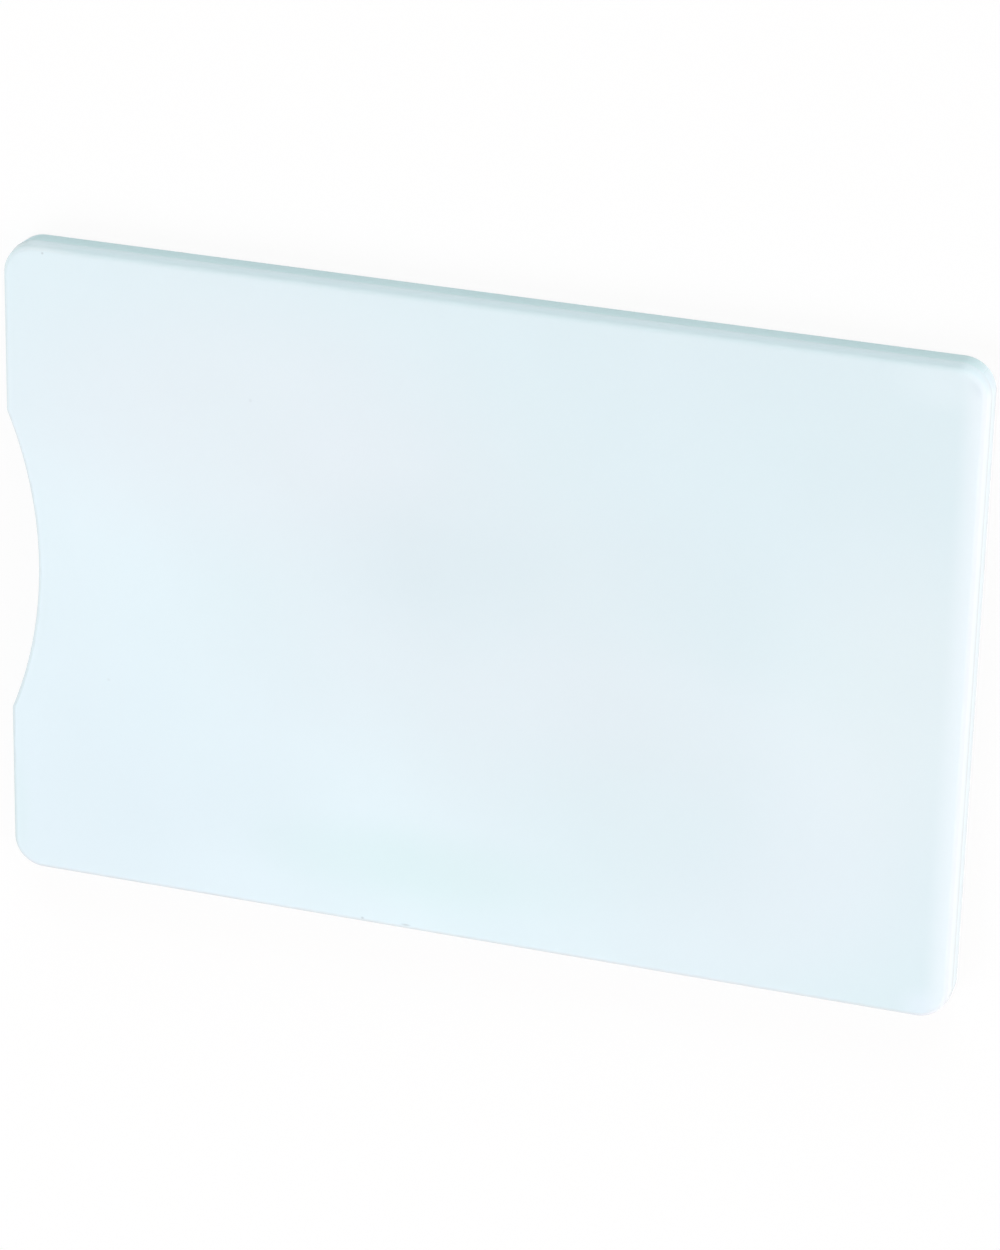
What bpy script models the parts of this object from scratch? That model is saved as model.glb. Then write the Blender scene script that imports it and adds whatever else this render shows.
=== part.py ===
"""RFID card holder: a rigid sleeve for one bank card, two moulded half shells with a shielding foil in each.

Metres, +Z up. The holder lies on its rear face, with its mouth at -X and its closed end at +X.
The origin is at the centre of the underside.
"""

import math

import bmesh
import bpy

# The whole holder, seen from the front
LENGTH = 0.0875
WIDTH = 0.0600
THICKNESS = 0.0034
CORNER_RADIUS = 0.0029

# Thumb notch in the mouth edge: a shallow arc with softened ends
NOTCH_DEPTH = 0.0028
NOTCH_RADIUS = 0.0378
NOTCH_END_RADIUS = 0.0010

# Outer edges and mould draft: the front shell's walls lean in more than the rear shell's
FRONT_EDGE_RADIUS = 0.00045
REAR_EDGE_RADIUS = 0.00020
FRONT_DRAFT = math.radians(8.0)
REAR_DRAFT = math.radians(3.0)

# Walls round the card
PANEL_THICKNESS = 0.0010
SIDE_WALL = 0.0027
END_WALL = 0.0016
POCKET_CORNER_RADIUS = 0.0010

# The two halves meet above the middle of the thickness
PARTING_HEIGHT = 0.0020
SEAM_GAP = 0.00003

# Tongue of the rear shell, in a groove of the front shell, round the three closed sides
TONGUE_INSET = 0.00060
TONGUE_WIDTH = 0.00050
TONGUE_HEIGHT = 0.00030
TONGUE_ROOT = 0.00020
TONGUE_CLEARANCE = 0.00005
TONGUE_SETBACK = 0.0040

# Mouth lead-in: the pocket's sides flare and its faces are chamfered along the notch
MOUTH_FLARE = 0.00050
LEAD_IN = 0.00030
LEAD_IN_MARGIN = 0.00010

# Ribs that hold the card by its long edges
RIB_RADIUS = 0.0012
RIB_HEIGHT = 0.00020
RIB_FIRST = 0.0090
RIB_SPACING = 0.0550

# Shielding foil, its adhesive film and their recess in each panel
FOIL_THICKNESS = 0.00010
FILM_THICKNESS = 0.00005
BOND_GAP = 0.00002
FOIL_SINK = 0.00002
FOIL_MARGIN = 0.0008
FOIL_MOUTH_MARGIN = 0.0012
FOIL_CORNER_RADIUS = 0.0015
RECESS_CLEARANCE = 0.00010
FILM_MARGIN = 0.00040

# How far a cutter runs past what it cuts
OVERRUN = 0.0010

# Steps of the rounded forms
CORNER_STEPS = 10
NOTCH_STEPS = 22
NOTCH_END_STEPS = 5
LEAD_IN_STEPS = 19
RIB_STEPS = 6
EDGE_STEPS = 5

SHELL_COLOUR = (0.80, 0.90, 0.94)
FOIL_COLOUR = (0.77, 0.78, 0.79)
FILM_COLOUR = (0.86, 0.86, 0.80)

QUARTER = math.pi / 2


def arc(centre_x, centre_y, radius, start, end, steps):
    """Points along an arc from one angle to another, with both ends."""
    turn = (end - start) / steps
    angles = [start + turn * step for step in range(steps + 1)]
    return [(centre_x + radius * math.cos(angle), centre_y + radius * math.sin(angle)) for angle in angles]


def mouth_edge(inset):
    """The mouth edge with its thumb notch, from +Y to -Y, moved inwards by an inset."""
    edge = -LENGTH / 2 + inset
    sweep = NOTCH_RADIUS + inset
    end_radius = NOTCH_END_RADIUS - inset
    centre = edge + NOTCH_DEPTH - sweep
    rise = edge + end_radius - centre
    end_y = math.sqrt((sweep + end_radius) ** 2 - rise**2)
    meet = math.atan2(end_y, rise)
    upper = arc(edge + end_radius, end_y, end_radius, math.pi, math.pi + meet, NOTCH_END_STEPS)
    middle = arc(centre, 0, sweep, meet, -meet, NOTCH_STEPS)
    lower = arc(edge + end_radius, -end_y, end_radius, math.pi - meet, math.pi, NOTCH_END_STEPS)
    return upper + middle[1:-1] + lower


def closed_end(inset):
    """The two corners of the closed end, from -Y to +Y, moved inwards by an inset."""
    radius = CORNER_RADIUS - inset
    x = LENGTH / 2 - CORNER_RADIUS
    y = WIDTH / 2 - CORNER_RADIUS
    return arc(x, -y, radius, -QUARTER, 0, CORNER_STEPS) + arc(x, y, radius, 0, QUARTER, CORNER_STEPS)


def holder_outline():
    """The plan outline of both shells at the parting line."""
    x = -LENGTH / 2 + CORNER_RADIUS
    y = WIDTH / 2 - CORNER_RADIUS
    upper = arc(x, y, CORNER_RADIUS, QUARTER, math.pi, CORNER_STEPS)
    lower = arc(x, -y, CORNER_RADIUS, -math.pi, -QUARTER, CORNER_STEPS)
    return closed_end(0) + upper + mouth_edge(0) + lower


def rounded_rectangle(low_x, high_x, half_width, radius):
    """A rectangle about the X axis with four rounded corners."""
    corners = ((high_x, -1, -QUARTER), (high_x, 1, 0), (low_x, 1, QUARTER), (low_x, -1, math.pi))
    points = []
    for x, side, start in corners:
        inward = -radius if x == high_x else radius
        points += arc(x + inward, side * (half_width - radius), radius, start, start + QUARTER, CORNER_STEPS)
    return points


def pocket_outline():
    """The card's pocket: ribs along its sides, a rounded closed end and a mouth that flares past the edge."""
    half_width = WIDTH / 2 - SIDE_WALL
    mouth = -LENGTH / 2
    end = LENGTH / 2 - END_WALL - POCKET_CORNER_RADIUS
    lean = math.acos((RIB_RADIUS - RIB_HEIGHT) / RIB_RADIUS)
    centre_y = half_width + RIB_RADIUS - RIB_HEIGHT
    side = [(mouth - OVERRUN, -half_width - MOUTH_FLARE - OVERRUN), (mouth + MOUTH_FLARE, -half_width)]
    for place in (mouth + RIB_FIRST, mouth + RIB_FIRST + RIB_SPACING):
        side += arc(place, -centre_y, RIB_RADIUS, QUARTER + lean, QUARTER - lean, RIB_STEPS)
    corner_y = half_width - POCKET_CORNER_RADIUS
    side += arc(end, -corner_y, POCKET_CORNER_RADIUS, -QUARTER, 0, CORNER_STEPS)
    return side + [(x, -y) for x, y in reversed(side)]


def lead_in_outline():
    """The band along the mouth edge and its notch where the lead-in's cutter starts, inside the pocket."""
    reach = WIDTH / 2 - SIDE_WALL - LEAD_IN_MARGIN
    edge = -LENGTH / 2 + 2 * LEAD_IN
    sweep = NOTCH_RADIUS + 2 * LEAD_IN
    centre = edge + NOTCH_DEPTH - sweep
    meet = math.acos((edge - centre) / sweep)
    outer_x = -LENGTH / 2 - NOTCH_DEPTH
    notch = arc(centre, 0, sweep, -meet, meet, LEAD_IN_STEPS)
    return [(edge, reach), (outer_x, reach), (outer_x, -reach), (edge, -reach)] + notch


def tongue_outline(spread):
    """The U-shaped band of the tongue, widened on both sides by a spread."""
    start = -LENGTH / 2 + TONGUE_SETBACK - spread
    outer_inset = TONGUE_INSET - spread
    inner_inset = TONGUE_INSET + TONGUE_WIDTH + spread
    outer = closed_end(outer_inset) + [(start, WIDTH / 2 - outer_inset)]
    inner = [(start, WIDTH / 2 - inner_inset)] + closed_end(inner_inset)[::-1]
    return outer + inner + [(start, inner_inset - WIDTH / 2), (start, outer_inset - WIDTH / 2)]


def foil_outline(margin):
    """A foil-shaped rectangle, behind the notch and inside the walls, moved outwards by a margin."""
    low_x = -LENGTH / 2 + NOTCH_DEPTH + FOIL_MOUTH_MARGIN - margin
    high_x = LENGTH / 2 - END_WALL - FOIL_MARGIN + margin
    return rounded_rectangle(low_x, high_x, WIDTH / 2 - SIDE_WALL - FOIL_MARGIN + margin, FOIL_CORNER_RADIUS)


def flat_mesh(name, outline):
    """A flat mesh inside an outline, from a filled 2D curve."""
    curve = bpy.data.curves.new(name, "CURVE")
    curve.dimensions = "2D"
    curve.fill_mode = "BOTH"
    spline = curve.splines.new("POLY")
    spline.points.add(len(outline) - 1)
    for point, (x, y) in zip(spline.points, outline):
        point.co = (x, y, 0, 1)
    spline.use_cyclic_u = True
    guide = bpy.data.objects.new(name, curve)
    bpy.context.scene.collection.objects.link(guide)
    graph = bpy.context.evaluated_depsgraph_get()
    mesh = bpy.data.meshes.new_from_object(guide.evaluated_get(graph))
    bpy.data.objects.remove(guide)
    bpy.data.curves.remove(curve)
    mesh.name = name
    return mesh


def grown_solid(name, outline, base, steps, collection):
    """A closed solid that starts as a flat outline at a base height and grows through (inset, rise) steps."""
    mesh = flat_mesh(name, outline)
    solid = bmesh.new()
    solid.from_mesh(mesh)
    bmesh.ops.translate(solid, verts=solid.verts, vec=(0, 0, base))
    bmesh.ops.recalc_face_normals(solid, faces=solid.faces)
    cap = bmesh.ops.dissolve_faces(solid, faces=solid.faces)["region"]
    if cap[0].normal.z < 0:
        bmesh.ops.reverse_faces(solid, faces=cap)
    for inset, rise in steps:
        if inset > 0:
            bmesh.ops.inset_region(
                solid, faces=cap, thickness=inset, depth=rise, use_boundary=True, use_even_offset=True
            )
            continue
        raised = bmesh.ops.extrude_face_region(solid, geom=cap)["geom"]
        cap = [item for item in raised if isinstance(item, bmesh.types.BMFace)]
        corners = [item for item in raised if isinstance(item, bmesh.types.BMVert)]
        bmesh.ops.translate(solid, verts=corners, vec=(0, 0, rise))
    rim = [edge for edge in solid.edges if edge.is_boundary]
    bmesh.ops.holes_fill(solid, edges=rim, sides=0)
    bmesh.ops.recalc_face_normals(solid, faces=solid.faces)
    solid.to_mesh(mesh)
    solid.free()
    result = bpy.data.objects.new(name, mesh)
    collection.objects.link(result)
    return result


def combine(piece, other, operation):
    """Cuts a piece with a cutter, or joins a boss to it, in the piece's own frame."""
    other.parent = piece
    other.hide_render = True
    other.display_type = "WIRE"
    modifier = piece.modifiers.new(other.name, "BOOLEAN")
    modifier.operation = operation
    modifier.solver = "EXACT"
    modifier.object = other


def material(name, colour, roughness, metallic):
    """A Principled material with one colour, roughness and metallic value."""
    made = bpy.data.materials.new(name)
    made.use_nodes = True
    shader = made.node_tree.nodes["Principled BSDF"]
    shader.inputs["Base Color"].default_value = (*colour, 1)
    shader.inputs["Roughness"].default_value = roughness
    shader.inputs["Metallic"].default_value = metallic
    return made


def wall_steps(depth, edge_radius, draft):
    """The (inset, rise) steps of a drafted outer wall and the round edge that it runs into."""
    straight = depth - edge_radius * (1 - math.sin(draft))
    steps = [(straight * math.tan(draft), straight)]
    turn = (QUARTER - draft) / EDGE_STEPS
    for step in range(EDGE_STEPS):
        before = draft + turn * step
        after = before + turn
        inset = edge_radius * (math.cos(before) - math.cos(after))
        rise = edge_radius * (math.sin(after) - math.sin(before))
        steps.append((inset, rise))
    return steps


def half_shell(name, depth, edge_radius, draft, cutters, finish, holder):
    """A moulded half, its parting face at height 0 and its panel on top, with pocket and recess cut in."""
    shell = grown_solid(name, holder_outline(), 0, wall_steps(depth, edge_radius, draft), holder)
    shell.data.materials.append(finish)
    ceiling = depth - PANEL_THICKNESS
    recess_depth = FOIL_SINK + FOIL_THICKNESS + FILM_THICKNESS + 2 * BOND_GAP
    pocket = grown_solid(name + "_pocket", pocket_outline(), -OVERRUN, [(0, OVERRUN + ceiling)], cutters)
    combine(shell, pocket, "DIFFERENCE")
    recess = grown_solid(
        name + "_recess", foil_outline(RECESS_CLEARANCE), 0, [(0, ceiling + recess_depth)], cutters
    )
    combine(shell, recess, "DIFFERENCE")
    chamfer = grown_solid(
        name + "_lead_in", lead_in_outline(), ceiling - LEAD_IN, [(3 * LEAD_IN, 3 * LEAD_IN)], cutters
    )
    combine(shell, chamfer, "DIFFERENCE")
    return shell


def shield(name, shell, depth, finishes, holder):
    """The film and the foil in a shell's recess, film against the plastic, in the shell's frame."""
    foil_base = depth - PANEL_THICKNESS + FOIL_SINK
    foil = grown_solid(name + "_shield", foil_outline(0), foil_base, [(0, FOIL_THICKNESS)], holder)
    film_base = foil_base + FOIL_THICKNESS + BOND_GAP
    film = grown_solid(name + "_film", foil_outline(-FILM_MARGIN), film_base, [(0, FILM_THICKNESS)], holder)
    for piece, finish in zip((foil, film), finishes):
        piece.data.materials.append(finish)
        piece.parent = shell


def smooth(piece):
    """Smooth shading on the round edges, with the flat faces kept crisp."""
    piece.data.shade_smooth()
    piece.data.set_sharp_from_angle(angle=math.radians(30.0))


def build():
    for old in list(bpy.data.objects):
        bpy.data.objects.remove(old)
    holder = bpy.data.collections.new("rfid_card_holder")
    cutters = bpy.data.collections.new("cutters")
    for collection in (holder, cutters):
        bpy.context.scene.collection.children.link(collection)

    plastic = material("pale_blue_plastic", SHELL_COLOUR, 0.28, 0.0)
    foil = material("aluminium_foil", FOIL_COLOUR, 0.32, 1.0)
    film = material("adhesive_film", FILM_COLOUR, 0.50, 0.0)

    # The front shell stands on the parting plane
    front_depth = THICKNESS - PARTING_HEIGHT
    front = half_shell("front_shell", front_depth, FRONT_EDGE_RADIUS, FRONT_DRAFT, cutters, plastic, holder)
    front.location.z = PARTING_HEIGHT
    groove_depth = TONGUE_HEIGHT + TONGUE_CLEARANCE
    groove = grown_solid(
        "groove", tongue_outline(TONGUE_CLEARANCE), -OVERRUN, [(0, OVERRUN + groove_depth)], cutters
    )
    combine(front, groove, "DIFFERENCE")
    shield("front", front, front_depth, (foil, film), holder)

    # The rear shell is the same moulding turned over about X, below the seam
    rear_depth = PARTING_HEIGHT - SEAM_GAP
    rear = half_shell("rear_shell", rear_depth, REAR_EDGE_RADIUS, REAR_DRAFT, cutters, plastic, holder)
    rear.location.z = rear_depth
    rear.rotation_euler.x = math.pi
    tongue = grown_solid(
        "tongue", tongue_outline(0), -TONGUE_HEIGHT, [(0, TONGUE_HEIGHT + TONGUE_ROOT)], cutters
    )
    combine(rear, tongue, "UNION")
    shield("rear", rear, rear_depth, (foil, film), holder)

    for shell in (front, rear):
        smooth(shell)


build()
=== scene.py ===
"""RFID card holder: a slim rigid sleeve for one bank card, face up, with its mouth and thumb notch at -X."""
import math

import bmesh
import bpy
from mathutils import Matrix, Vector


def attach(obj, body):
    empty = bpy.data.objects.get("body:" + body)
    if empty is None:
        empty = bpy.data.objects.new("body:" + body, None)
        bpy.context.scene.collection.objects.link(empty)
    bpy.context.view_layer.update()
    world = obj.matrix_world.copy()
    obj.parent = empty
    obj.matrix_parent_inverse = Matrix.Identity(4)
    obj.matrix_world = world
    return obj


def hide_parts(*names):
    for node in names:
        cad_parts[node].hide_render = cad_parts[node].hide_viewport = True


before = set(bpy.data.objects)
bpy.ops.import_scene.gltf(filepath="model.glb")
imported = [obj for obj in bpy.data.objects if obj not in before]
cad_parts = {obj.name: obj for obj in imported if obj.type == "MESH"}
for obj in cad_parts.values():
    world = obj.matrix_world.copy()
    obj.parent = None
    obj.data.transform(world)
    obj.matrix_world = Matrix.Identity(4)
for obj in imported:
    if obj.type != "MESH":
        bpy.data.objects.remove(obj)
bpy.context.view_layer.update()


# Front shell
# The half with the front face, moulded in opaque pale icy blue plastic and left glossy by the mould.
# Its walls lean in from the parting line, a round edge turns into the panel, and a groove in its rim
# takes the rear shell's tongue, where the two are welded.

LENGTH = 0.0875
WIDTH = 0.0600
THICKNESS = 0.0034
MOUTH = -LENGTH / 2
CORNER_RADIUS = 0.0029
NOTCH_DEPTH = 0.0028
NOTCH_RADIUS = 0.0378
NOTCH_END_RADIUS = 0.0010
PARTING_HEIGHT = 0.0020
FRONT_DRAFT = math.radians(8.0)
FRONT_EDGE_RADIUS = 0.00045
SEAM_ROUND = 0.00001
FACE_BORDER = 0.00006
PANEL_THICKNESS = 0.0010
SIDE_WALL = 0.0027
END_WALL = 0.0016
POCKET_CORNER_RADIUS = 0.0010
MOUTH_FLARE = 0.00050
LEAD_IN = 0.00030
LEAD_IN_CUT = 3 * LEAD_IN
LEAD_IN_MARGIN = 0.00010
RIB_RADIUS = 0.0012
RIB_HEIGHT = 0.00020
RIB_PLACES = (MOUTH + 0.0090, MOUTH + 0.0640)
POST_DEPTHS = 4
TONGUE_INSET = 0.00060
TONGUE_WIDTH = 0.00050
TONGUE_HEIGHT = 0.00030
TONGUE_CLEARANCE = 0.00005
TONGUE_SETBACK = 0.0040
RECESS_START = NOTCH_DEPTH + 0.0011
RECESS_MARGIN = 0.0007
RECESS_DEPTH = 0.00021
RECESS_CORNER_RADIUS = 0.0015
OVERRUN = 0.0010
CORNER_STEPS = 24
NOTCH_STEPS = 48
NOTCH_END_STEPS = 8
EDGE_STEPS = 8
SEAM_STEPS = 2
POCKET_CORNER_STEPS = 12
RIB_STEPS = 64
LEAD_IN_STEPS = 43
TOLERANCE = 1e-6
SHARP_ANGLE = math.radians(30)


def round_corners(sketch, places, radius, turn, steps):
    """Rounds the vertices of a flat sketch at these places, where its outline turns by this angle."""
    chosen = [
        v for v in sketch.verts if any((v.co.xy - Vector(place)).length < TOLERANCE for place in places)
    ]
    bmesh.ops.bevel(
        sketch, geom=chosen, offset=radius * math.tan(turn / 2), offset_type="OFFSET", segments=steps,
        profile=0.5, affect="VERTICES", material=-1,
    )


def notched_sketch(edge, far_x, half_width, notch_steps):
    """A flat face from the mouth edge, with the notch's arc spun into it, over to a far side."""
    sketch = bmesh.new()
    centre = MOUTH + NOTCH_DEPTH - NOTCH_RADIUS
    sweep = NOTCH_RADIUS + edge - MOUTH
    turn = math.acos((edge - centre) / sweep)
    first = sketch.verts.new((edge, sweep * math.sin(turn), 0))
    bmesh.ops.spin(
        sketch, geom=[first], cent=(centre, 0, 0), axis=(0, 0, 1), angle=-2 * turn, steps=notch_steps,
    )
    sketch.verts.ensure_lookup_table()
    last = sketch.verts[-1]
    corners = [(edge, half_width), (far_x, half_width), (far_x, -half_width), (edge, -half_width)]
    chain = [first] + [sketch.verts.new((x, y, 0)) for x, y in corners] + [last]
    for one, other in zip(chain, chain[1:]):
        sketch.edges.new((one, other))
    bmesh.ops.contextual_create(sketch, geom=sketch.edges[:])
    return sketch, turn


def flat_sketch(low_x, high_x, half_width):
    """A flat rectangular face about the X axis."""
    sketch = bmesh.new()
    middle = Matrix.Translation(((low_x + high_x) / 2, 0, 0))
    sides = Matrix.Diagonal((high_x - low_x, 2 * half_width, 1, 1))
    bmesh.ops.create_grid(sketch, x_segments=1, y_segments=1, size=0.5, matrix=middle @ sides)
    return sketch


def raise_face(solid, base, inset, rise):
    """Turns a flat sketch into a closed solid from a base height, its walls leaning in over the rise."""
    bmesh.ops.translate(solid, verts=solid.verts, vec=(0, 0, base))
    cap = solid.faces[:]
    if cap[0].normal.z < 0:
        bmesh.ops.reverse_faces(solid, faces=cap)
    if inset > 0:
        bmesh.ops.inset_region(
            solid, faces=cap, thickness=inset, depth=rise, use_boundary=True, use_even_offset=True,
        )
        bmesh.ops.holes_fill(solid, edges=[edge for edge in solid.edges if edge.is_boundary], sides=0)
    else:
        raised = bmesh.ops.extrude_face_region(solid, geom=cap)["geom"]
        top = [item for item in raised if isinstance(item, bmesh.types.BMVert)]
        bmesh.ops.translate(solid, verts=top, vec=(0, 0, rise))
    bmesh.ops.recalc_face_normals(solid, faces=solid.faces)


def as_piece(solid, name):
    """A finished bmesh as an object in the scene."""
    mesh = bpy.data.meshes.new(name)
    solid.to_mesh(mesh)
    solid.free()
    piece = bpy.data.objects.new(name, mesh)
    bpy.context.scene.collection.objects.link(piece)
    return piece


def shape_with(piece, tool, operation):
    """Cuts a piece with a tool, or joins the tool to it, and takes the tool away."""
    modifier = piece.modifiers.new("shape", "BOOLEAN")
    modifier.operation = operation
    modifier.solver = "EXACT"
    modifier.object = tool
    bpy.context.view_layer.update()
    shaped = bpy.data.meshes.new_from_object(piece.evaluated_get(bpy.context.evaluated_depsgraph_get()))
    piece.modifiers.clear()
    piece.data = shaped
    bpy.data.objects.remove(tool)


def tongue_band(slack, base, height):
    """The U-shaped band of the weld tongue, round the three closed sides, wider by a slack all round."""
    inset = TONGUE_INSET - slack
    far_x = LENGTH / 2 - inset
    half_width = WIDTH / 2 - inset
    band = flat_sketch(MOUTH, far_x, half_width)
    far_corners = [(far_x, half_width), (far_x, -half_width)]
    round_corners(band, far_corners, CORNER_RADIUS - inset, math.pi / 2, CORNER_STEPS)
    middle = band.faces[:]
    bmesh.ops.inset_region(
        band, faces=middle, thickness=TONGUE_WIDTH + 2 * slack, use_boundary=True, use_even_offset=True,
    )
    bmesh.ops.delete(band, geom=middle, context="FACES")
    bmesh.ops.bisect_plane(
        band, geom=band.verts[:] + band.edges[:] + band.faces[:], clear_inner=True,
        plane_co=(MOUTH + TONGUE_SETBACK - slack, 0, 0), plane_no=(1, 0, 0),
    )
    raise_face(band, base, 0, height)
    return as_piece(band, "band")


def moulded_half(name, depth, edge_radius, draft):
    """A half shell on its parting face, panel up, with its pocket, foil recess and lead-in at the mouth."""
    shell, turn = notched_sketch(MOUTH, LENGTH / 2, WIDTH / 2, NOTCH_STEPS)
    notch_end = NOTCH_RADIUS * math.sin(turn)
    round_corners(shell, [(MOUTH, notch_end), (MOUTH, -notch_end)], NOTCH_END_RADIUS, turn, NOTCH_END_STEPS)
    square = [(x, y) for x in (MOUTH, LENGTH / 2) for y in (-WIDTH / 2, WIDTH / 2)]
    round_corners(shell, square, CORNER_RADIUS, math.pi / 2, CORNER_STEPS)
    raise_face(shell, 0, depth * math.tan(draft), depth)
    panel_edge = (depth, edge_radius, draft, EDGE_STEPS)
    seam_edge = (0, SEAM_ROUND, -draft, SEAM_STEPS)
    for level, radius, lean, steps in (panel_edge, seam_edge):
        rim = [e for e in shell.edges if all(abs(v.co.z - level) < TOLERANCE for v in e.verts)]
        bmesh.ops.bevel(
            shell, geom=rim, offset=radius * math.tan((math.pi / 2 - lean) / 2), offset_type="OFFSET",
            segments=steps, profile=0.5, affect="EDGES", material=-1,
        )
    # The panel is the higher of the two large flat faces. A narrow border keeps its shading flat.
    panel = max(shell.faces, key=lambda face: face.calc_center_median().z + face.calc_area())
    bmesh.ops.inset_region(shell, faces=[panel], thickness=FACE_BORDER, use_even_offset=True)
    half = as_piece(shell, name)

    # The card's pocket, flared at the mouth. Round posts taken from it leave the ribs standing.
    ceiling = depth - PANEL_THICKNESS
    far_x = LENGTH / 2 - END_WALL
    half_width = WIDTH / 2 - SIDE_WALL
    pocket = flat_sketch(MOUTH - OVERRUN, far_x, half_width)
    far_corners = [(far_x, half_width), (far_x, -half_width)]
    round_corners(pocket, far_corners, POCKET_CORNER_RADIUS, math.pi / 2, POCKET_CORNER_STEPS)
    bmesh.ops.bisect_plane(
        pocket, geom=pocket.verts[:] + pocket.edges[:] + pocket.faces[:],
        plane_co=(MOUTH + MOUTH_FLARE, 0, 0), plane_no=(1, 0, 0),
    )
    flared = [v for v in pocket.verts if v.co.x < MOUTH]
    bmesh.ops.scale(pocket, verts=flared, vec=(1, (half_width + MOUTH_FLARE + OVERRUN) / half_width, 1))
    raise_face(pocket, -OVERRUN, 0, OVERRUN + ceiling)
    pocket = as_piece(pocket, "pocket")
    ribs = bmesh.new()
    for x in RIB_PLACES:
        for side in (-1, 1):
            place = Matrix.Translation((x, side * (half_width + RIB_RADIUS - RIB_HEIGHT), 0))
            bmesh.ops.create_cone(
                ribs, cap_ends=True, segments=RIB_STEPS, radius1=RIB_RADIUS, radius2=RIB_RADIUS,
                depth=POST_DEPTHS * depth, matrix=place,
            )
    shape_with(pocket, as_piece(ribs, "ribs"), "DIFFERENCE")
    shape_with(half, pocket, "DIFFERENCE")

    # The shallow recess that the shielding foil is bonded into
    low_x = MOUTH + RECESS_START
    high_x = far_x - RECESS_MARGIN
    side = half_width - RECESS_MARGIN
    recess = flat_sketch(low_x, high_x, side)
    corners = [(x, y) for x in (low_x, high_x) for y in (-side, side)]
    round_corners(recess, corners, RECESS_CORNER_RADIUS, math.pi / 2, POCKET_CORNER_STEPS)
    raise_face(recess, 0, 0, ceiling + RECESS_DEPTH)
    shape_with(half, as_piece(recess, "recess"), "DIFFERENCE")

    # The lead-in chamfer at 45 degrees, along the mouth edge and its notch
    lead_in, _ = notched_sketch(
        MOUTH + 2 * LEAD_IN, MOUTH - NOTCH_DEPTH, half_width - LEAD_IN_MARGIN, LEAD_IN_STEPS
    )
    raise_face(lead_in, ceiling - LEAD_IN, LEAD_IN_CUT, LEAD_IN_CUT)
    shape_with(half, as_piece(lead_in, "lead_in"), "DIFFERENCE")
    return half


front = moulded_half("front_moulding", THICKNESS - PARTING_HEIGHT, FRONT_EDGE_RADIUS, FRONT_DRAFT)
groove = tongue_band(TONGUE_CLEARANCE, -OVERRUN, OVERRUN + TONGUE_HEIGHT + TONGUE_CLEARANCE)
shape_with(front, groove, "DIFFERENCE")
front.data.transform(Matrix.Translation((0, 0, PARTING_HEIGHT)))


def shade(piece):
    """Smooth shading, broken at the sharp edges."""
    piece.data.shade_smooth()
    piece.data.set_sharp_from_angle(angle=SHARP_ANGLE)


def add_node(tree, kind, inputs=(), **settings):
    """A node with its settings, and its inputs as values or as sockets to link."""
    made = tree.nodes.new(kind)
    for name, value in settings.items():
        setattr(made, name, value)
    for key, value in dict(inputs).items():
        if isinstance(value, bpy.types.NodeSocket):
            tree.links.new(value, made.inputs[key])
        else:
            made.inputs[key].default_value = value
    return made


def maths(tree, operation, *values):
    """The result of one Math node."""
    return add_node(tree, "ShaderNodeMath", dict(enumerate(values)), operation=operation).outputs[0]


def vector_maths(tree, operation, *vectors):
    """The result of one Vector Math node, a vector or a length."""
    made = add_node(tree, "ShaderNodeVectorMath", dict(enumerate(vectors)), operation=operation)
    return made.outputs["Value" if operation == "LENGTH" else "Vector"]


def new_finish(name, **sockets):
    """A material with one Principled BSDF and plain values on its sockets."""
    made = bpy.data.materials.new(name)
    made.use_nodes = True
    shader = made.node_tree.nodes["Principled BSDF"]
    for key, value in sockets.items():
        shader.inputs[key.replace("_", " ")].default_value = value
    return made, made.node_tree, shader


def new_group(name, inputs, outputs):
    """A shader node group with named sockets, and its input and output nodes."""
    group = bpy.data.node_groups.new(name, "ShaderNodeTree")
    for kind, sockets in (("INPUT", inputs), ("OUTPUT", outputs)):
        for label, socket in sockets:
            group.interface.new_socket(label, in_out=kind, socket_type=f"NodeSocket{socket}")
    return group, group.nodes.new("NodeGroupInput").outputs, group.nodes.new("NodeGroupOutput").inputs


def colour_mix(tree, factor, first, second, blend="MIX"):
    """The colour between two others by a factor, or the first one multiplied by the second."""
    inputs = {0: factor, 6: first, 7: second}
    return add_node(tree, "ShaderNodeMix", inputs, data_type="RGBA", blend_type=blend).outputs[2]


def spread(tree, value, low, high, to_low=0.0, to_high=1.0):
    """A value stretched smoothly from one range to another."""
    inputs = {"Value": value, "From Min": low, "From Max": high, "To Min": to_low, "To Max": to_high}
    return add_node(tree, "ShaderNodeMapRange", inputs, interpolation_type="SMOOTHSTEP").outputs[0]


def bumped(tree, height, depth, **under):
    """The normal of a surface raised by a height, over another normal where one is given."""
    return add_node(tree, "ShaderNodeBump", {"Height": height, "Distance": depth, **under}).outputs[0]


# Soft clouds: slow patches from 0 to 1, as where a melt cooled a little sooner or a film bonded better
CLOUD_GRAIN = {"Detail": 2.0, "Roughness": 0.45}
CLOUD_LEVELS = (0.32, 0.68)
clouds, given, result = new_group(
    "soft_clouds", [("Place", "Vector"), ("Scale", "Float"), ("Shift", "Float")], [("Mask", "Float")]
)
noise = add_node(
    clouds, "ShaderNodeTexNoise",
    {"Vector": given["Place"], "W": given["Shift"], "Scale": given["Scale"], **CLOUD_GRAIN},
    noise_dimensions="4D",
)
clouds.links.new(spread(clouds, noise.outputs[0], *CLOUD_LEVELS), result["Mask"])

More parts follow.
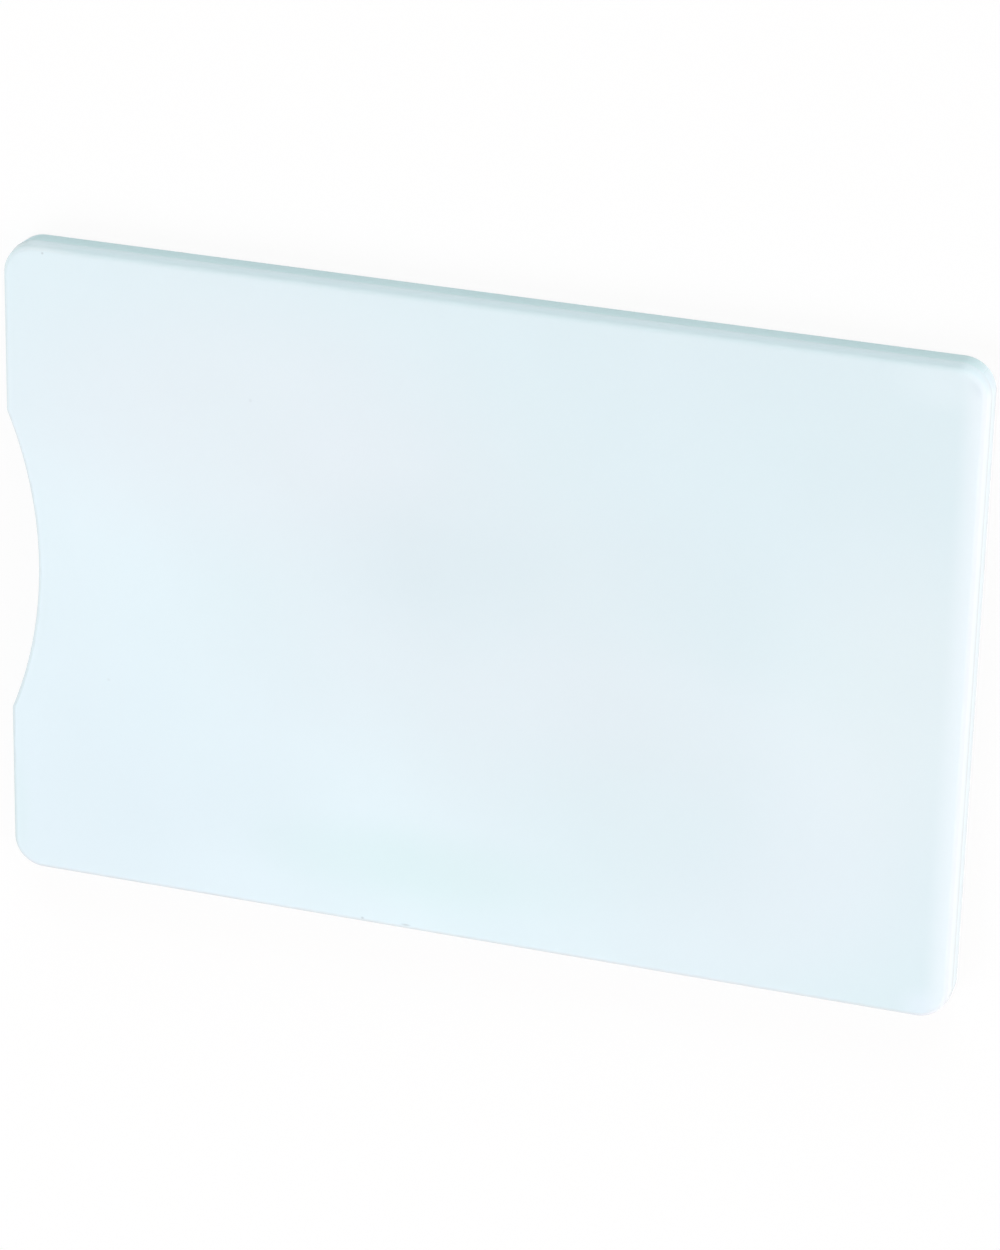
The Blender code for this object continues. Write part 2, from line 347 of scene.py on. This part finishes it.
# Hairlines: fine lines along X, turned by an angle, as rolled grain in foil and light rubbing on plastic
LINES_PER_METRE = (60.0, 6000.0, 60.0)
LINE_SOFTNESS = 0.12
hairlines, given, result = new_group(
    "hairlines", [("Place", "Vector"), ("Turn", "Float"), ("Threshold", "Float")], [("Mask", "Float")]
)
turned = add_node(
    hairlines, "ShaderNodeVectorRotate", {"Vector": given["Place"], "Angle": given["Turn"]},
    rotation_type="Z_AXIS",
)
drawn = vector_maths(hairlines, "MULTIPLY", turned.outputs[0], LINES_PER_METRE)
noise = add_node(hairlines, "ShaderNodeTexNoise", {"Vector": drawn, "Scale": 1.0, "Detail": 1.0})
above = maths(hairlines, "SUBTRACT", noise.outputs[0], given["Threshold"])
hairlines.links.new(spread(hairlines, above, 0.0, LINE_SOFTNESS), result["Mask"])

# A mark or a patch: an ellipsoid at a place, soft from well outside its radii to near its middle
MARK_RIM_SHARE = 1.6
MARK_HEART_SHARE = 0.2
mark, given, result = new_group(
    "soft_mark", [("Place", "Vector"), ("Centre", "Vector"), ("Radii", "Vector")], [("Mask", "Float")]
)
away = vector_maths(mark, "SUBTRACT", given["Place"], given["Centre"])
away = vector_maths(mark, "LENGTH", vector_maths(mark, "DIVIDE", away, given["Radii"]))
mark.links.new(spread(mark, away, MARK_RIM_SHARE, MARK_HEART_SHARE), result["Mask"])

# Wall distance: how far a point lies inside the outline, round the two sides and the closed end
wall_distance, given, result = new_group("wall_distance", [("Place", "Vector")], [("Distance", "Float")])
axes = add_node(wall_distance, "ShaderNodeSeparateXYZ", {"Vector": given["Place"]}).outputs
past_x = maths(wall_distance, "SUBTRACT", axes["X"], LENGTH / 2 - CORNER_RADIUS)
aside = maths(wall_distance, "ABSOLUTE", axes["Y"])
past_y = maths(wall_distance, "SUBTRACT", aside, WIDTH / 2 - CORNER_RADIUS)
past = add_node(wall_distance, "ShaderNodeCombineXYZ", {"X": past_x, "Y": past_y}).outputs[0]
beyond = vector_maths(wall_distance, "LENGTH", vector_maths(wall_distance, "MAXIMUM", past))
within = maths(wall_distance, "MINIMUM", maths(wall_distance, "MAXIMUM", past_x, past_y), 0.0)
inward = maths(wall_distance, "SUBTRACT", CORNER_RADIUS, maths(wall_distance, "ADD", beyond, within))
wall_distance.links.new(inward, result["Distance"])

# The colours of the plastic and of the painted light and shade on it, and shares of a colour for each channel
ICE_BLUE_PALE = (0.713, 0.836, 0.877)
ICE_BLUE_DEEP = (0.699, 0.826, 0.868)
ICE_BLUE_VIOLET = (0.713, 0.822, 0.874)
# Painted light at the closed end, with a little less of it on the end's round edge
END_PAINTED_LIGHT = (0.808, 0.896, 0.942)
END_ROUND_PAINTED_LIGHT = (0.766, 0.846, 0.893)
DUST_GREY = (0.36, 0.41, 0.44)
# Painted light on the gloss walls, painted paler still at the closed end
GLOSS_WALL_PAINTED_LIGHT = (1.08, 1.06, 1.06)
GLOSS_END_WALL_PAINTED_LIGHT = (0.840, 0.952, 0.985)
# Painted light on the round edge of the gloss half
ROUND_EDGE_PAINTED_LIGHT = (1.06, 1.015, 1.01)

# Patches that make the panel lighter or darker, partly painted light, shade and reflection; painted shade
# at the far corner; and tiny marks: centre, radii, and shares or strength
PANEL_PATCHES_PART_PAINTED_LIGHT = (
    ((-0.0370, -0.0210), (0.0220, 0.0160), (0.96, 0.95, 0.96)),
    ((0.0000, -0.0010), (0.0215, 0.0155), (1.01, 0.97, 0.97)),
    ((0.0390, 0.0010), (0.0110, 0.0125), (1.05, 1.02, 1.01)),
    ((-0.0215, 0.0165), (0.0220, 0.0105), (1.04, 0.99, 0.99)),
    ((0.0155, -0.0155), (0.0140, 0.0095), (0.92, 0.97, 0.96)),
    ((-0.0045, 0.0055), (0.0095, 0.0065), (0.96, 0.98, 0.98)),
    ((0.0200, -0.0150), (0.0185, 0.0125), (1.08, 1.01, 1.02)),
    ((-0.0055, -0.0235), (0.0130, 0.0035), (0.95, 0.98, 0.96)),
    ((0.0405, 0.0285), (0.0040, 0.0022), (1.045, 1.03, 1.03)),
    ((-0.0440, -0.0240), (0.0018, 0.0050), (0.96, 0.98, 0.96)),
    ((0.0420, -0.0288), (0.0022, 0.0016), (1.07, 1.035, 1.06)),
)
# Painted shade at the far corner
CORNER_PAINTED_SHADE = (
    ((0.0432, 0.0288, 0.0017), (0.00115, 0.00115, 0.0017), (0.90, 0.89, 0.90)),
    ((0.04315, 0.0286, 0.00285), (0.0011, 0.0011, 0.00075), (0.92, 0.94, 0.955)),
)
SMALL_MARKS = (
    ((-0.00986, -0.02940, 0.00330), (0.00016, 0.00012, 0.00020), 0.55),
    ((-0.00576, -0.02937, 0.00330), (0.00042, 0.00010, 0.00020), 0.55),
    ((-0.03986, 0.02935, 0.00330), (0.00012, 0.00010, 0.00020), 0.55),
    ((-0.02065, 0.01847, 0.00340), (0.00016, 0.00016, 0.00010), 0.11),
    ((-0.03410, -0.01000, 0.00340), (0.00016, 0.00014, 0.00010), 0.13),
)

# Where each band of painted light and shade begins and ends, as distances from the closed end, the outline,
# the near side, the mouth, the panel and the seam
END_PAINT_SPAN = (0.0027, 0.0005)
END_ROUND_PAINT_SPAN = (0.0005, 0.0003)
END_WALL_PAINT_SPAN = (0.0016, 0.0004)
WALL_PAINT_SPAN = (0.00022, 0.00010)
NEAR_SIDE_PAINT_SPAN = (0.0012, 0.0007)
MOUTH_PAINT_SPAN = (0.0080, 0.0034)
PANEL_PAINT_SPAN = (0.000003, 0.000025)
SEAM_PAINT_SPAN = 0.0009

# The haze, faint clouds, waves, orange peel and rubbing of the surface
GLOSS_HAZE = (0.19, 0.25)
DEEP_CLOUDS = {"Scale": 42.0, "Shift": 3.0}
VIOLET_CLOUDS = {"Scale": 34.0, "Shift": 11.0}
VIOLET_STRENGTH = 0.5
HAZE_CLOUDS = {"Scale": 90.0, "Shift": 7.0}
WAVES = {"Scale": 55.0, "Shift": 19.0}
WAVE_DEPTH = 0.00005
PEEL = {"Scale": 900.0, "Detail": 1.0}
PEEL_DEPTH = 0.000002
RUBBED_ONE_WAY = {"Turn": 0.35, "Threshold": 0.66}
RUBBED_OTHER_WAY = {"Turn": -0.9, "Threshold": 0.68}
RUBBED_HAZE = 0.006
PLASTIC_IOR = 1.46


def object_place(tree):
    """The object coordinates of a material, from one shared node."""
    found = [node for node in tree.nodes if node.bl_idname == "ShaderNodeTexCoord"]
    return (found[0] if found else tree.nodes.new("ShaderNodeTexCoord")).outputs["Object"]


def masked(tree, group, **inputs):
    """The mask of an effect, placed in a material on the object's own coordinates with its own values."""
    node = add_node(tree, "ShaderNodeGroup", node_tree=group)
    tree.links.new(object_place(tree), node.inputs["Place"])
    for label, value in inputs.items():
        node.inputs[label].default_value = value
    return node.outputs[0]


def multiplied(tree, factor, colour, shares):
    """A colour multiplied by a share for each channel, by a factor."""
    return colour_mix(tree, factor, colour, (*shares, 1), "MULTIPLY")


def moulded_plastic(name, wall_painted_light_and_shade, end_wall_painted_light, side_haze, patches=()):
    """The plastic of one half: faint clouds of colour, painted light and shade, rubbed hairlines, a surface
    not quite flat.
    """
    plastic, tree, shader = new_finish(name, IOR=PLASTIC_IOR)
    place = object_place(tree)
    axes = add_node(tree, "ShaderNodeSeparateXYZ", {"Vector": place}).outputs
    plain = colour_mix(tree, masked(tree, clouds, **DEEP_CLOUDS), (*ICE_BLUE_DEEP, 1), (*ICE_BLUE_PALE, 1))
    violet = maths(tree, "MULTIPLY", masked(tree, clouds, **VIOLET_CLOUDS), VIOLET_STRENGTH)
    plain = colour_mix(tree, violet, plain, (*ICE_BLUE_VIOLET, 1))
    colour = plain
    # Patches that make the panel lighter or darker, partly painted light, shade and reflection
    for centre, radii, shares in patches:
        patch = masked(tree, mark, Centre=(*centre, THICKNESS), Radii=(*radii, THICKNESS))
        colour = multiplied(tree, patch, colour, shares)

    # Painted light: the closed end is painted paler, and its round edge a little less so. The walls get
    # painted light on the gloss half and painted shade on the satin half, both painted paler at the closed
    # end.
    end, turning, round_corner = (
        spread(tree, axes["X"], LENGTH / 2 - begin, LENGTH / 2 - finish)
        for begin, finish in (END_PAINT_SPAN, END_ROUND_PAINT_SPAN, END_WALL_PAINT_SPAN)
    )
    colour = colour_mix(tree, end, colour, (*END_PAINTED_LIGHT, 1))
    colour = colour_mix(tree, turning, colour, (*END_ROUND_PAINTED_LIGHT, 1))
    painted_side_wall = multiplied(tree, 1.0, plain, wall_painted_light_and_shade)
    painted_walls = colour_mix(tree, round_corner, painted_side_wall, (*end_wall_painted_light, 1))
    colour = colour_mix(tree, spread(tree, masked(tree, wall_distance), *WALL_PAINT_SPAN), colour, painted_walls)

    # Painted light: the round edge is painted a touch paler on the near side and round the mouth
    near_side = spread(tree, axes["Y"], NEAR_SIDE_PAINT_SPAN[0] - WIDTH / 2, NEAR_SIDE_PAINT_SPAN[1] - WIDTH / 2)
    mouth_end = spread(tree, axes["X"], MOUTH + MOUTH_PAINT_SPAN[0], MOUTH + MOUTH_PAINT_SPAN[1])
    below_panel = spread(tree, axes["Z"], THICKNESS - PANEL_PAINT_SPAN[0], THICKNESS - PANEL_PAINT_SPAN[1])
    above_seam = spread(tree, axes["Z"], PARTING_HEIGHT, PARTING_HEIGHT + SEAM_PAINT_SPAN)
    painted_edge_light = maths(tree, "MULTIPLY", maths(tree, "MAXIMUM", near_side, mouth_end), below_panel)
    painted_edge_light = maths(tree, "MULTIPLY", painted_edge_light, above_seam)
    colour = multiplied(tree, painted_edge_light, colour, ROUND_EDGE_PAINTED_LIGHT)
    # Painted shade at the far corner
    for centre, radii, shares in CORNER_PAINTED_SHADE:
        colour = multiplied(tree, masked(tree, mark, Centre=centre, Radii=radii), colour, shares)
    for centre, radii, strength in SMALL_MARKS:
        speck = maths(tree, "MULTIPLY", masked(tree, mark, Centre=centre, Radii=radii), strength)
        colour = colour_mix(tree, speck, colour, (*DUST_GREY, 1))
    tree.links.new(colour, shader.inputs["Base Color"])

    # The closed end of both halves has the haze of the gloss one
    haze = spread(tree, masked(tree, clouds, **HAZE_CLOUDS), 0.0, 1.0, *side_haze)
    haze = add_node(tree, "ShaderNodeMix", {0: end, 2: haze, 3: GLOSS_HAZE[1]}).outputs[0]
    one_way, other_way = (masked(tree, hairlines, **lines) for lines in (RUBBED_ONE_WAY, RUBBED_OTHER_WAY))
    rubbed = maths(tree, "MULTIPLY", maths(tree, "MAXIMUM", one_way, other_way), RUBBED_HAZE)
    tree.links.new(maths(tree, "ADD", rubbed, haze), shader.inputs["Roughness"])
    wavy = bumped(tree, masked(tree, clouds, **WAVES), WAVE_DEPTH)
    peel = add_node(tree, "ShaderNodeTexNoise", {"Vector": place, **PEEL}).outputs[0]
    tree.links.new(bumped(tree, peel, PEEL_DEPTH, Normal=wavy), shader.inputs["Normal"])
    return plastic


gloss = moulded_plastic("ice_blue_gloss", GLOSS_WALL_PAINTED_LIGHT, GLOSS_END_WALL_PAINTED_LIGHT, GLOSS_HAZE, PANEL_PATCHES_PART_PAINTED_LIGHT)
front.data.materials.append(gloss)
shade(front)
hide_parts("front_shell")
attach(front, "root")


# Rear shell
# The other half, moulded deeper and with a tighter edge in the same plastic, but left satin. Its side walls
# are painted darker as shade, and paler at the closed end as painted light. It lies face down on its panel
# and carries the tongue of the weld on its rim.

REAR_EDGE_RADIUS = 0.00020
REAR_DRAFT = math.radians(3.0)
TONGUE_ROOT = 0.00020
# Painted shade on the satin side walls, with painted light at their closed end
SATIN_WALL_PAINTED_SHADE = (0.930, 0.968, 0.946)
SATIN_END_WALL_PAINTED_LIGHT = (0.776, 0.907, 0.955)
SATIN_HAZE = (0.47, 0.55)

rear = moulded_half("rear_moulding", PARTING_HEIGHT, REAR_EDGE_RADIUS, REAR_DRAFT)
shape_with(rear, tongue_band(0, -TONGUE_HEIGHT, TONGUE_HEIGHT + TONGUE_ROOT), "UNION")
rear.data.transform(Matrix.Translation((0, 0, PARTING_HEIGHT)) @ Matrix.Rotation(math.pi, 4, "X"))
satin = moulded_plastic("ice_blue_satin", SATIN_WALL_PAINTED_SHADE, SATIN_END_WALL_PAINTED_LIGHT, SATIN_HAZE)
rear.data.materials.append(satin)
shade(rear)
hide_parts("rear_shell")
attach(rear, "root")


# Shielding foils and their films
# Aluminium foil, its dull side out, rolled flat but faintly crinkled, on a milky adhesive film in each
# panel's recess.

FOIL_METAL = 0.72
FOIL_PALE = (0.77, 0.78, 0.79)
FOIL_DEEP = (0.70, 0.71, 0.725)
FOIL_ROUGHNESS = (0.42, 0.52)
FOIL_GRAIN = {"Turn": 0.0, "Threshold": 0.50}
CRINKLE_SCALE = 260.0
CRINKLE_DEPTH = 0.00006
FILM_DEEP = (0.80, 0.80, 0.73)
FILM_PALE = (0.88, 0.88, 0.82)
FILM_ROUGHNESS = (0.42, 0.58)
FILM_BOND = {"Scale": 160.0, "Shift": 5.0}
BUBBLE_SCALE = 700.0
BUBBLE_SIZE = 0.25
BUBBLE_DEPTH = 0.00001

foil, tree, shader = new_finish("aluminium_foil_dull", Metallic=FOIL_METAL)
grain = masked(tree, hairlines, **FOIL_GRAIN)
tree.links.new(colour_mix(tree, grain, (*FOIL_PALE, 1), (*FOIL_DEEP, 1)), shader.inputs["Base Color"])
tree.links.new(spread(tree, grain, 0.0, 1.0, *FOIL_ROUGHNESS), shader.inputs["Roughness"])
crinkle = add_node(
    tree, "ShaderNodeTexVoronoi", {"Vector": object_place(tree), "Scale": CRINKLE_SCALE}, feature="SMOOTH_F1"
)
tree.links.new(bumped(tree, crinkle.outputs["Distance"], CRINKLE_DEPTH), shader.inputs["Normal"])

film, tree, shader = new_finish("adhesive_film_milky")
bond = masked(tree, clouds, **FILM_BOND)
tree.links.new(colour_mix(tree, bond, (*FILM_DEEP, 1), (*FILM_PALE, 1)), shader.inputs["Base Color"])
tree.links.new(spread(tree, bond, 0.0, 1.0, *FILM_ROUGHNESS), shader.inputs["Roughness"])
cells = add_node(
    tree, "ShaderNodeTexVoronoi", {"Vector": object_place(tree), "Scale": BUBBLE_SCALE}, feature="F1"
)
bubbles = spread(tree, cells.outputs["Distance"], 0.0, BUBBLE_SIZE, 1.0, 0.0)
tree.links.new(bumped(tree, bubbles, BUBBLE_DEPTH), shader.inputs["Normal"])

for side in ("front", "rear"):
    for part, finish in (("shield", foil), ("film", film)):
        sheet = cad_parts[f"{side}_{part}"]
        sheet.data.materials.clear()
        sheet.data.materials.append(finish)


# Studio
# A plain white floor in a dim warm room, with wide soft lamps low round the holder, one high over the mouth
# and a soft box near it. The lens and the gloss see floor and room as white, while both throw less light
# back than white paper would.

FLOOR_SIZE = 3.0
FLOOR_ROUGHNESS = 0.9
FLOOR_BOUNCED = (0.08, 0.08, 0.08)
FLOOR_SEEN = (0.97, 0.97, 0.97)
FLOOR_CLEAN_SHARE = 0.90
ROOM_COLOUR = (1.0, 0.661, 0.564)
ROOM_STRENGTH = 0.445
SUN_SPREAD = math.radians(40)
BOX_SIZE = 0.35

scene = bpy.context.scene
scene.view_settings.view_transform = "Standard"


def seen_directly(tree):
    """1 for what the lens sees, straight or by a mirror or through glass, and 0 for light that bounces on."""
    rays = add_node(tree, "ShaderNodeLightPath").outputs
    mirrored = maths(tree, "MAXIMUM", rays["Is Camera Ray"], rays["Is Glossy Ray"])
    return maths(tree, "MAXIMUM", mirrored, rays["Is Transmission Ray"])


ground = bmesh.new()
bmesh.ops.create_grid(ground, x_segments=1, y_segments=1, size=FLOOR_SIZE)
floor = as_piece(ground, "floor")
paper, tree, shader = new_finish("white_floor", Roughness=FLOOR_ROUGHNESS, Specular_IOR_Level=0.0)
tint = colour_mix(tree, seen_directly(tree), (*FLOOR_BOUNCED, 1), (*FLOOR_SEEN, 1))
tree.links.new(tint, shader.inputs["Base Color"])
clean = add_node(tree, "ShaderNodeEmission").outputs[0]
share = maths(tree, "MULTIPLY", seen_directly(tree), FLOOR_CLEAN_SHARE)
mixed = add_node(tree, "ShaderNodeMixShader", {0: share, 1: shader.outputs[0], 2: clean})
tree.links.new(mixed.outputs[0], tree.nodes["Material Output"].inputs["Surface"])
floor.data.materials.append(paper)

world = bpy.data.worlds.new("studio")
scene.world = world
world.use_nodes = True
tree = world.node_tree
room = tree.nodes["Background"]
room.inputs["Color"].default_value = (*ROOM_COLOUR, 1)
room.inputs["Strength"].default_value = ROOM_STRENGTH
backdrop = add_node(tree, "ShaderNodeBackground", {"Strength": 1.0, "Color": (1, 1, 1, 1)}).outputs[0]
mixed = add_node(tree, "ShaderNodeMixShader", {0: seen_directly(tree), 1: room.outputs[0], 2: backdrop})
tree.links.new(mixed.outputs[0], tree.nodes["World Output"].inputs["Surface"])


def place_lamp(name, kind, azimuth, elevation, power, colour, mirrored=True, away=1.0):
    """A wide soft lamp that faces the holder from a direction, sun-like or a square box some way off.

    One that isn't mirrored stands for light so wide that it leaves no shine of its own on a round edge.
    """
    light = bpy.data.lights.new(name, kind)
    light.energy = power
    light.color = colour
    if kind == "SUN":
        light.angle = SUN_SPREAD
    else:
        light.shape = "SQUARE"
        light.size = BOX_SIZE
    around, up = math.radians(azimuth), math.radians(elevation)
    towards = Vector((math.cos(up) * math.cos(around), math.cos(up) * math.sin(around), math.sin(up)))
    lamp = bpy.data.objects.new(name, light)
    lamp.location = away * towards
    lamp.visible_glossy = mirrored
    lamp.rotation_euler = (-towards).to_track_quat("-Z", "Y").to_euler()
    scene.collection.objects.link(lamp)


place_lamp("end_light", "SUN", 0, 4, 4.08, (0.986, 0.987, 1.0), mirrored=False)
place_lamp("far_side_light", "SUN", 90, 15, 1.88, (0.682, 0.948, 1.0), mirrored=False)
place_lamp("mouth_light", "SUN", 180, 15, 0.615, (0.707, 1.0, 0.932), mirrored=False)
place_lamp("near_side_light", "SUN", 270, 15, 0.22, (1.0, 0.5, 0.6), mirrored=False)
place_lamp("high_mouth_light", "SUN", 225, 40, 1.45, (0.746, 0.899, 1.0))
place_lamp("near_box", "AREA", 270, 60, 0.308, (0.552, 0.942, 1.0), away=0.5)

# The camera stands over the closed end and the upper long side, rolled so that the width stays upright
FOCAL_LENGTH = 138.98
SENSOR_WIDTH = 36.0
NEAREST_SEEN = 0.01
CAMERA_PLACE = (0.118119, 0.166304, 0.366705)
CAMERA_AIM = (0.001658, 0.000017, 0.001164)
CAMERA_UP = (-0.14388, 0.91725, -0.37142)

lens = bpy.data.cameras.new("camera")
lens.lens = FOCAL_LENGTH
lens.sensor_width = SENSOR_WIDTH
lens.clip_start = NEAREST_SEEN
camera = bpy.data.objects.new("camera", lens)
scene.collection.objects.link(camera)
camera.location = CAMERA_PLACE
ahead = (Vector(CAMERA_AIM) - camera.location).normalized()
across = ahead.cross(Vector(CAMERA_UP)).normalized()
camera.rotation_euler = Matrix((across, across.cross(ahead), -ahead)).transposed().to_euler()
scene.camera = camera
